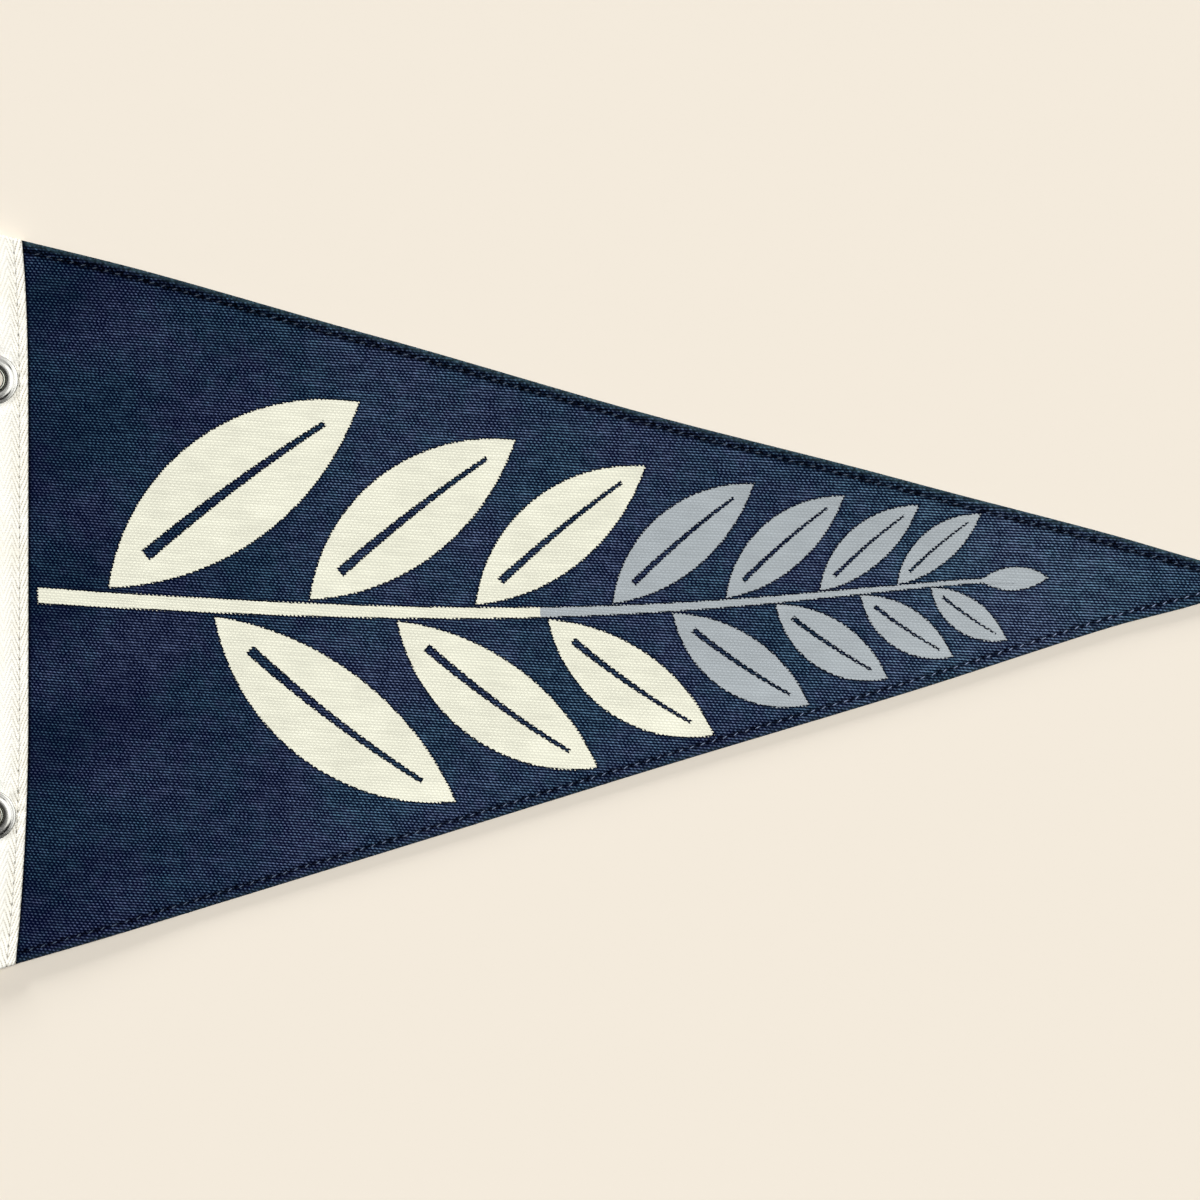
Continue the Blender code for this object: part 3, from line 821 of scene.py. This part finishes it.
def canvas_at(settings, station, cut):
    """Middle of the duck at a distance across the cut cloth from its lower folded edge.

    Distances below zero and beyond the width are on the hems' turned plies.
    """
    bottom, top = edges(station)
    width = top - bottom
    inside = np.minimum(cut, width - cut)
    held = 1.0 - smoothstep(*GRIP_END, station)
    fold = settings.fold + (settings.pressed_fold - settings.fold) * held
    turn, run = fold_round(fold, inside)
    inward = settings.ply / 2 + fold * (1.0 - np.cos(turn)) + run
    share = inward / width
    share = np.where(cut < width - cut, share, 1.0 - share)
    x, y = on_cloth(station, share)
    # Heights of the hem's middle and of the field, which both settle to the floor
    lift = 1.0 - smoothstep(*SETTLE, station)
    rest = settings.ply / 2 + FLOOR_GAP
    hem_middle = rest + fold + (HEADING_MIDDLE - rest - fold) * lift
    field = rest + (HEADING_MIDDLE - rest) * lift
    # The field sinks from the hem's face to its own height, less so near the tip
    hem = np.minimum(settings.hem, HEM_SHARE * width)
    reach = np.maximum(np.minimum(settings.sag, HEM_SHARE * width), LEAST_SAG)
    sunk = smoothstep(0.0, 1.0, (inside - hem) / reach)
    depth = smoothstep(0.0, 1.0, (width / 2 - hem) / (2 * settings.sag))
    seam = np.minimum(settings.seam_inset, SEAM_SHARE * width)
    groove = HEM_GROOVE[0] * bump_at(HEM_GROOVE[1], inside - seam) * (1.0 - held)
    face = hem_middle + fold * np.sin(turn) - groove
    z = face + (field - face) * sunk * (depth + held * (1.0 - depth))
    z = z + settings.swell * soft_waves(x, y) * sunk * (1.0 - lift)
    return x, y, z


def cut_distance(station, row):
    """Distance across the cut cloth, from its lower folded edge to a row of the grid."""
    share, inset = row
    bottom, top = edges(station)
    width = top - bottom
    # The bands and the turned plies shrink where the pennant is narrow
    turned = np.minimum(1.0, TURNED_SHARE * width / (-HEM_ROWS[0] * MM))
    band = np.minimum(1.0, BAND_SHARE * width / HEM_BAND)
    inset = inset * np.where(inset < 0, turned, band)
    middle = band * HEM_BAND + (width - 2 * band * HEM_BAND) * share
    return np.where(share == 0, inset, np.where(share == 1, width - inset, middle))


def tape_at(settings, across, share):
    """Middle of the tape, at a distance across its cut width from the fold."""
    turn, run = fold_round(settings.fold, across)
    station = settings.ply / 2 + settings.fold * (1.0 - np.cos(turn)) + run
    x, y = on_cloth(station, share)
    seam = HEADING_WIDTH - settings.seam_inset
    ends = np.minimum(share, 1.0 - share) * HOIST_HEIGHT
    dent = TAPE_PRESS * smoothstep(seam - PRESS_RISE[0], seam - PRESS_RISE[1], station)
    dent = dent * (PRESS_AT_ENDS + (1.0 - PRESS_AT_ENDS) * smoothstep(*PRESS_ENDS, ends))
    dent = dent + TAPE_GROOVE[0] * bump_at(TAPE_GROOVE[1], station - seam)
    for place_x, place_y in EYELET_PLACES.values():
        distance = np.hypot(x - place_x, y - place_y)
        bearing = np.arctan2(y - place_y, x - place_x)
        folds = np.sin(PUCKER_COUNT * bearing + PUCKER_BEND * np.sin(2.0 * bearing))
        dent = dent + WASHER_SEAT * (1.0 - smoothstep(*SEAT_RADII, distance))
        dent = dent + PUCKER_HEIGHT * folds * bump_at(PUCKER_RING[1], distance - PUCKER_RING[0])
    rise = settings.fold * np.sin(turn)
    return x, y, HEADING_MIDDLE + np.where(run > 0.0, rise - np.sign(across) * dent, rise)


def tape_flat(settings):
    """Distance across the cut tape from its fold to its edge."""
    return HEADING_WIDTH - settings.ply / 2 - settings.fold + settings.fold * math.pi / 2


def painted_paleness(station, x, y):
    """Painted light on the cloth: paler towards the tip, in soft bands beside the heading."""
    pale = LEAST_PAINTED_LIGHT + sum(
        amount * smoothstep(start, end, station) for amount, start, end in PALING)
    swing = BAND_SWING * np.cos(math.tau * (y - SWING_CREST) / SWING_PITCH)
    bands = np.cos(math.tau * (y - BAND_CREST) / BAND_PITCH + np.sin(x / BAND_BEND))
    return pale + bands * (BAND_STRENGTH - swing) * (1.0 - smoothstep(*BAND_FADE, station))


def sprig_map(x, y):
    """Leaves counted along the stem, angle off the stem, and distance from the point."""
    away_x, away_y = SPRIG_POINT[0] - x, y - SPRIG_POINT[1]
    distance = np.hypot(away_x, away_y)
    reach = np.log(distance / SPRIG_START)
    swing, often = SPRIG_BEND
    angle = np.arctan2(away_y, away_x) + SPRIG_TILT - swing * np.sin(reach * often)
    return np.stack([-reach / SPRIG_STEP, angle, distance], axis=1)


def canvas_layers(cloth, sewing, station, cut):
    """The duck's map along its yarns, and the attributes that its material reads."""
    bottom, top = edges(station)
    width = top - bottom
    at_heading, at_tip = [math.tan(angle) for angle in YARN_SKEW]
    ease = (at_tip - at_heading) / (2 * LENGTH)
    level = bottom + cut + at_heading * station + ease * station ** 2
    inside = np.minimum(cut, width - cut)
    seam = np.minimum(cloth.seam_inset, SEAM_SHARE * width)
    upper = np.where(cut > inside, 1.0, LOWER_SHADE_AND_WEAR)
    least, more = WEAR_SHARES
    rim = (1.0 - smoothstep(*EDGE_WEAR, inside)) * (least + more * upper)
    stitch = (station - SEAM_START) / sewing.hem_pitch
    face = inside > 0.0
    x, y = on_cloth(station, np.clip(cut / width, 0.0, 1.0))
    return {
        "grain": np.stack([station, level], axis=1),
        "sprig": sprig_map(x, y),
        "hem": np.stack([inside - seam, stitch, rim * face], axis=1),
        "pale": painted_paleness(station, x, y),
        "upper": upper * face,
    }


# Building pieces -------------------------------------------------------------------------

def add_piece(name, builder, *materials):
    """Turn a finished bmesh into a smooth object in the scene, with its materials."""
    mesh = bpy.data.meshes.new(name)
    builder.to_mesh(mesh)
    builder.free()
    for material in materials:
        mesh.materials.append(material)
    mesh.shade_smooth()
    piece = bpy.data.objects.new(name, mesh)
    bpy.context.scene.collection.objects.link(piece)
    return piece


def add_sheet(name, columns, rows, place, layers, *materials):
    """A grid mesh whose points are moved onto the cloth, with its map and attributes.

    place takes the column's and the row's value at every point and gives x, y and z.
    layers takes the same two and gives the map "grain" and the named attributes.
    """
    builder = bmesh.new()
    bmesh.ops.create_grid(
        builder, x_segments=len(columns) - 1, y_segments=len(rows) - 1, size=1.0)
    piece = add_piece(name, builder, *materials)
    mesh = piece.data
    points = np.empty(len(mesh.vertices) * 3)
    mesh.vertices.foreach_get("co", points)
    points = points.reshape(-1, 3)
    column = np.rint((points[:, 0] + 1) / 2 * (len(columns) - 1)).astype(int)
    row = np.rint((points[:, 1] + 1) / 2 * (len(rows) - 1)).astype(int)
    values = columns[column], rows[row].T
    placed = np.stack(place(*values), axis=1) + np.array(ZERO)
    mesh.vertices.foreach_set("co", placed.ravel())
    corners = np.empty(len(mesh.loops), dtype=int)
    mesh.loops.foreach_get("vertex_index", corners)
    for layer, made in layers(*values).items():
        if layer == "grain":
            mesh.uv_layers.new(name=layer).uv.foreach_set("vector", made[corners].ravel())
        elif made.ndim == 1:
            mesh.attributes.new(layer, "FLOAT", "POINT").data.foreach_set("value", made)
        else:
            mesh.attributes.new(layer, "FLOAT_VECTOR", "POINT").data.foreach_set(
                "vector", made.ravel())
    mesh.update()
    punch_holes(piece)
    return piece


def punch_holes(piece):
    """Open a round hole at each eyelet: drop the faces inside and round the rim off."""
    builder = bmesh.new()
    builder.from_mesh(piece.data)
    for place in EYELET_PLACES.values():
        centre = Vector(place) + ZERO.xy
        inner = [v for v in builder.verts if (v.co.xy - centre).length < PUNCH_RADIUS]
        bmesh.ops.delete(builder, geom=inner, context="VERTS")
        rim = {v for e in builder.edges if e.is_boundary for v in e.verts}
        for vertex in rim:
            away = vertex.co.xy - centre
            if away.length < PUNCH_RADIUS * 2:
                vertex.co.xy = centre + away.normalized() * PUNCH_RADIUS
    builder.to_mesh(piece.data)
    builder.free()


def thicken(piece, thickness, back_material):
    """Give a sheet its thickness about its middle, with its own material on the back."""
    solid = piece.modifiers.new("ply", "SOLIDIFY")
    solid.thickness = thickness
    solid.offset = 0.0
    solid.use_quality_normals = True
    solid.material_offset = back_material
    solid.material_offset_rim = back_material


def spread(start, end, step):
    """Even stations from start to end, about a step apart."""
    return np.linspace(start, end, max(2, round(abs(end - start) / step) + 1))


def finish_piece(piece, slot, *nodes):
    """Ride the piece on the root body and let it stand for CAD nodes; its slot is not used."""
    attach(piece, "root")
    if nodes:
        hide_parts(*nodes)


# Pieces ----------------------------------------------------------------------------------

class PENNANT_OT_canvas(bpy.types.Operator):
    """Cut, hem and lay the printed canvas"""

    bl_idname = "pennant.canvas"
    bl_label = "Canvas"

    def execute(self, context):
        cloth = context.scene.pennant_canvas
        prints = context.scene.pennant_print
        columns = np.concatenate([
            spread(CANVAS_START, HEADING_WIDTH, COLUMN_STEPS[0]),
            spread(HEADING_WIDTH + 1.0 * MM, LENGTH - TIP_RADIUS, COLUMN_STEPS[1]),
            LENGTH - TIP_RADIUS * np.array(TIP_SHARES),
        ])
        # Each row's share of the field between the two bands, and its place in a band
        hem_rows = np.array([*(inset * MM for inset in HEM_ROWS), HEM_BAND])
        shares = np.linspace(0.0, 1.0, FIELD_ROWS)[1:-1]
        rows = np.concatenate([
            np.stack([0 * hem_rows, hem_rows], axis=1),
            np.stack([shares, 0 * shares + HEM_BAND], axis=1),
            np.stack([0 * hem_rows + 1.0, hem_rows[::-1]], axis=1),
        ])

        def place(station, row):
            return canvas_at(cloth, station, cut_distance(station, row))

        def layers(station, row):
            return canvas_layers(
                cloth, context.scene.pennant_sewing, station, cut_distance(station, row))

        piece = add_sheet(
            "printed_canvas", columns, rows, place, layers,
            make_canvas_material(cloth, prints, "screen-printed cotton duck", True),
            make_canvas_material(cloth, prints, "dyed cotton duck, back", False))
        thicken(piece, cloth.ply, 1)
        finish_piece(piece, "canvas", "pennant_panel")
        return {"FINISHED"}


class PENNANT_OT_tape(bpy.types.Operator):
    """Fold the heading tape round the short edge of the canvas"""

    bl_idname = "pennant.tape"
    bl_label = "Heading tape"

    def execute(self, context):
        tape = context.scene.pennant_tape
        flat = tape_flat(tape)
        arc = tape.fold * math.pi / 2
        back_step, fold_step, face_step = TAPE_STEPS
        rows = np.concatenate([
            spread(-flat, -arc, back_step),
            spread(-arc, arc, fold_step)[1:-1],
            spread(arc, flat, face_step),
        ])[:, None]
        columns = spread(0.0, 1.0, TAPE_ROW)

        def place(share, row):
            return tape_at(tape, row[0], share)

        def layers(share, row):
            across, along = row[0], share * HOIST_HEIGHT
            aside = np.abs(across) - (flat - tape.seam_inset)
            return {
                "grain": np.stack([flat - across, along], axis=1),
                "seam": np.stack([aside, along, 0 * share], axis=1),
            }

        piece = add_sheet(
            "herringbone_tape", columns, rows, place, layers,
            make_tape_material(tape, context.scene.pennant_sewing))
        piece.data.flip_normals()
        thicken(piece, tape.ply, 0)
        finish_piece(piece, "tape", "heading_tape")
        return {"FINISHED"}


class PENNANT_OT_eyelets(bpy.types.Operator):
    """Turn the eyelets and the domed washers they are curled over"""

    bl_idname = "pennant.eyelets"
    bl_label = "Eyelets"

    # Sections as radius and height above the floor, in millimetres
    eyelet_section = (
        (3.15, 0.75), (3.22, 0.42), (3.55, 0.14), (4.3, 0.0), (5.5, 0.0), (6.7, 0.0),
        (7.12, 0.12), (7.3, 0.40), (7.22, 0.72), (6.9, 0.8), (5.2, 0.8), (3.75, 0.8),
        (3.5, 1.05), (3.5, 2.6), (3.5, 4.42), (3.58, 4.56), (3.72, 4.60), (3.86, 4.61),
        (3.93, 4.70), (3.90, 4.84), (3.79, 4.97), (3.62, 5.03), (3.43, 5.0),
        (3.24, 4.84), (3.16, 4.58), (3.15, 4.2), (3.15, 2.6),
    )
    washer_section = (
        (3.8, 4.0), (5.6, 4.0), (7.45, 4.0), (7.62, 4.05), (7.65, 4.13), (7.56, 4.22),
        (7.35, 4.28), (7.12, 4.32), (6.90, 4.35), (6.76, 4.372), (6.70, 4.40),
        (6.56, 4.508), (6.34, 4.674), (6.14, 4.785), (5.88, 4.88), (5.58, 4.949),
        (5.28, 4.988), (5.02, 5.0), (4.84, 4.985), (4.64, 4.945), (4.44, 4.88),
        (4.26, 4.79), (4.12, 4.68), (4.02, 4.56), (3.97, 4.42), (3.8, 4.36),
    )
    turning_steps = 64

    def turn(self, name, section, centre, material):
        """Turn a closed section once round the eyelet's axis."""
        builder = bmesh.new()
        points = [builder.verts.new((r * MM, 0.0, z * MM)) for r, z in section]
        outline = [builder.edges.new(pair) for pair in zip(points, points[1:] + points[:1])]
        bmesh.ops.spin(
            builder, geom=points + outline, cent=(0, 0, 0), axis=(0, 0, 1),
            angle=math.tau, steps=self.turning_steps, use_merge=True)
        bmesh.ops.recalc_face_normals(builder, faces=builder.faces)
        shift = Matrix.Translation(Vector((*centre, 0.0)) + ZERO)
        bmesh.ops.transform(builder, matrix=shift, verts=builder.verts)
        piece = add_piece(name, builder, material)
        rounded = piece.modifiers.new("rounded", "SUBSURF")
        rounded.levels = rounded.render_levels = 1
        return piece

    def execute(self, context):
        eyelets = context.scene.pennant_eyelets
        nickel = make_nickel(eyelets, "bright nickel plate on brass", eyelets.metal)
        curled = make_nickel(eyelets, "curled nickel plate on brass", eyelets.curled)
        for side, centre in EYELET_PLACES.items():
            for kind, section, material in (
                ("eyelet_", self.eyelet_section, curled),
                ("washer_", self.washer_section, nickel),
            ):
                piece = self.turn("nickel_" + kind + side, section, centre, material)
                finish_piece(piece, "eyelet_metal", kind + side)
        return {"FINISHED"}


class PENNANT_OT_sewing(bpy.types.Operator):
    """Sew the hems and the tape"""

    bl_idname = "pennant.sewing"
    bl_label = "Stitches"

    def seam(self, name, points, directions, length, thickness, material):
        """Lay one rounded stitch at each point, along its direction."""
        builder = bmesh.new()
        size = Matrix.Diagonal((length / 2, thickness * THREAD_SPREAD, thickness / 2, 1.0))
        for point, direction in zip(points, directions):
            turn = Vector(direction).to_track_quat("X", "Z").to_matrix().to_4x4()
            place = Matrix.Translation(Vector(point) + ZERO)
            bmesh.ops.create_uvsphere(
                builder, u_segments=8, v_segments=6, radius=1.0, matrix=place @ turn @ size)
        return add_piece(name, builder, material)

    def sew_hem(self, side, slope, cloth, sewing, thread):
        """Sew one hem with stitches that lean and sink unevenly."""
        stations = np.arange(
            SEAM_START + sewing.hem_pitch / 2, LENGTH - SEAM_STOP, sewing.hem_pitch)
        bottom, top = edges(stations)
        inset = np.minimum(cloth.seam_inset, SEAM_SHARE * (top - bottom))
        x, y, z = canvas_at(cloth, stations, inset if side == "lower" else top - bottom - inset)
        number = np.arange(len(stations))
        lean = STITCH_LEAN + sum(
            change * np.sin(often * number) for change, often in LEAN_CHANGES)
        change, often = SINK_CHANGE
        sink = sewing.thread * (THREAD_SINK + change * np.sin(often * number))
        points = np.stack([x, y, z + cloth.ply / 2 + sink], axis=1)
        directions = np.stack([np.ones_like(x), slope + lean, 0.0 * x], axis=1)
        piece = self.seam(
            "hem_stitches_" + side, points, directions, HEM_STITCH, sewing.thread, thread)
        finish_piece(piece, "canvas")

    def sew_tape(self, side, sign, tape, sewing, thread):
        """Sew one side of the tape with even stitches along its own line."""
        count = round((HOIST_HEIGHT - SEAM_STOP) / sewing.tape_pitch)
        share = (np.arange(count) + TAPE_STITCH_START) * sewing.tape_pitch / HOIST_HEIGHT
        across = np.full_like(share, sign * (tape_flat(tape) - tape.seam_inset))
        x, y, z = tape_at(tape, across, share)
        next_x, next_y, _ = tape_at(tape, across, share + AHEAD)
        z = z + sign * (tape.ply / 2 + sewing.thread * THREAD_SINK)
        points = np.stack([x, y, z], axis=1)
        directions = np.stack([next_x - x, next_y - y, 0.0 * z], axis=1)
        piece = self.seam(
            "tape_stitches_" + side, points, directions, sewing.tape_pitch * TAPE_STITCH,
            sewing.thread, thread)
        finish_piece(piece, "tape")

    def execute(self, context):
        sewing = context.scene.pennant_sewing
        cloth = context.scene.pennant_canvas
        tape = context.scene.pennant_tape
        # The upper hem's thread is painted darker, as shade in its crease
        navy, sunk, cream = [
            make_thread(name, code, tip_code, sewing)
            for name, code, tip_code in (
                ("navy sewing thread", sewing.navy_thread, sewing.tip_thread),
                ("navy sewing thread, sunk", sewing.shaded_thread, sewing.navy_thread),
                ("cream sewing thread", sewing.cream_thread, sewing.cream_thread),
            )
        ]
        self.sew_hem("lower", math.tan(BOTTOM_RISE), cloth, sewing, navy)
        self.sew_hem("upper", -math.tan(TOP_FALL), cloth, sewing, sunk)
        self.sew_tape("face", 1, tape, sewing, cream)
        self.sew_tape("back", -1, tape, sewing, cream)
        return {"FINISHED"}


class PENNANT_OT_stage(bpy.types.Operator):
    """Lay the floor, hang the lights and set up the camera"""

    bl_idname = "pennant.stage"
    bl_label = "Stage"

    def lay_floor(self, stage):
        """A wide matt board just under the pennant."""
        board, add = new_material("matt painted board")
        add("OutputMaterial", add("BsdfPrincipled", named={
            "Base Color": linear(stage.floor), "Roughness": 1.0, "Specular IOR Level": 0.0}))
        builder = bmesh.new()
        bmesh.ops.create_grid(builder, x_segments=1, y_segments=1, size=FLOOR_HALF)
        floor = add_piece("floor", builder, board)
        floor.location.z = FLOOR - FLOOR_DROP

    def set_camera(self, scene, stage):
        """A camera straight above, as far away as its lens needs."""
        camera = bpy.data.objects.new("camera", bpy.data.cameras.new("camera"))
        camera.data.lens = stage.lens
        camera.data.sensor_width = SENSOR_WIDTH
        height = stage.view_width * stage.lens / SENSOR_WIDTH
        camera.location = VIEW_CENTRE + Vector((0.0, 0.0, height))
        scene.collection.objects.link(camera)
        scene.camera = camera

    def hang_lights(self, scene):
        """Two lamps for the cloth, and three cards that only the metal reflects."""
        # A broad lamp overhead beside the lens, and a low soft window beyond the top edge
        for name, energy, width, heading in (
            ("overhead", 2.49, 14.0, (0.04, -0.06, -1.0)),
            ("window", 2.55, 22.0, (0.289, -0.889, -0.295)),
        ):
            lamp = bpy.data.objects.new(name, bpy.data.lights.new(name, "SUN"))
            lamp.data.energy = energy
            lamp.data.angle = math.radians(width)
            lamp.rotation_euler = Vector(heading).to_track_quat("-Z", "Y").to_euler()
            lamp.visible_glossy = False
            scene.collection.objects.link(lamp)
        # The cards stand about the eyelets and face them: a bright one on the right, a
        # dimmer one beyond the top edge and a faint one overhead
        upper, lower = [Vector((*place, 0.0)) for place in EYELET_PLACES.values()]
        for name, energy, width, depth, away in (
            ("right card", 5.1, 0.84, 0.77, (0.416, 0.058, 0.557)),
            ("far card", 4.2, 0.90, 1.47, (0.054, 0.618, 0.62)),
            ("overhead card", 0.55, 0.56, 0.56, (0.0, 0.0, 2.0)),
        ):
            card = bpy.data.objects.new(name, bpy.data.lights.new(name, "AREA"))
            card.data.shape = "RECTANGLE"
            card.data.size = width
            card.data.size_y = depth
            card.data.energy = energy
            card.location = ZERO + (upper + lower) / 2 + Vector(away)
            card.rotation_euler = Vector(away).to_track_quat("Z", "Y").to_euler()
            card.visible_diffuse = False
            card.visible_camera = False
            scene.collection.objects.link(card)

    def light_world(self, scene):
        """A dim glow from above and darkness all round, for the metal's dark edges."""
        world = bpy.data.worlds.new("studio")
        world.use_nodes = True
        world.node_tree.nodes.clear()
        add = functools.partial(add_node, world.node_tree)
        up = add("SeparateXYZ", add("TexCoord").outputs["Generated"]).outputs[2]
        glow = add("MapRange", up, *RAMPS["sky"])
        add("OutputWorld", add("Background", (1.0, 1.0, 1.0, 1.0), glow))
        scene.world = world

    def execute(self, context):
        scene = context.scene
        self.lay_floor(scene.pennant_stage)
        self.set_camera(scene, scene.pennant_stage)
        self.hang_lights(scene)
        self.light_world(scene)
        scene.view_settings.view_transform = "Standard"
        scene.view_settings.look = "None"
        return {"FINISHED"}


class PENNANT_PT_panel(bpy.types.Panel):
    """Lists the pennant's settings and pieces"""

    bl_label = "Pennant"
    bl_idname = "PENNANT_PT_panel"
    bl_space_type = "VIEW_3D"
    bl_region_type = "UI"
    bl_category = "Pennant"

    def draw(self, context):
        for name, group in SETTINGS.items():
            box = self.layout.box()
            settings = getattr(context.scene, name)
            for key in group.__annotations__:
                box.prop(settings, key)
        for operator in OPERATORS:
            self.layout.operator(operator.bl_idname)


SETTINGS = {
    "pennant_canvas": CanvasSettings,
    "pennant_print": PrintSettings,
    "pennant_tape": TapeSettings,
    "pennant_eyelets": EyeletSettings,
    "pennant_sewing": SewingSettings,
    "pennant_stage": StageSettings,
}
OPERATORS = (
    PENNANT_OT_stage,
    PENNANT_OT_canvas,
    PENNANT_OT_tape,
    PENNANT_OT_eyelets,
    PENNANT_OT_sewing,
)
CLASSES = (*SETTINGS.values(), *OPERATORS, PENNANT_PT_panel)


def register():
    """Register the classes and hang the settings on the scene."""
    for cls in CLASSES:
        bpy.utils.register_class(cls)
    for name, group in SETTINGS.items():
        setattr(bpy.types.Scene, name, bpy.props.PointerProperty(type=group))


def unregister():
    """Take the settings and classes away again."""
    for name in SETTINGS:
        delattr(bpy.types.Scene, name)
    for cls in reversed(CLASSES):
        bpy.utils.unregister_class(cls)


def main():
    """Build the whole pennant."""
    register()
    bpy.ops.pennant.stage()
    bpy.ops.pennant.canvas()
    bpy.ops.pennant.tape()
    bpy.ops.pennant.eyelets()
    bpy.ops.pennant.sewing()


if __name__ == "__main__":
    main()
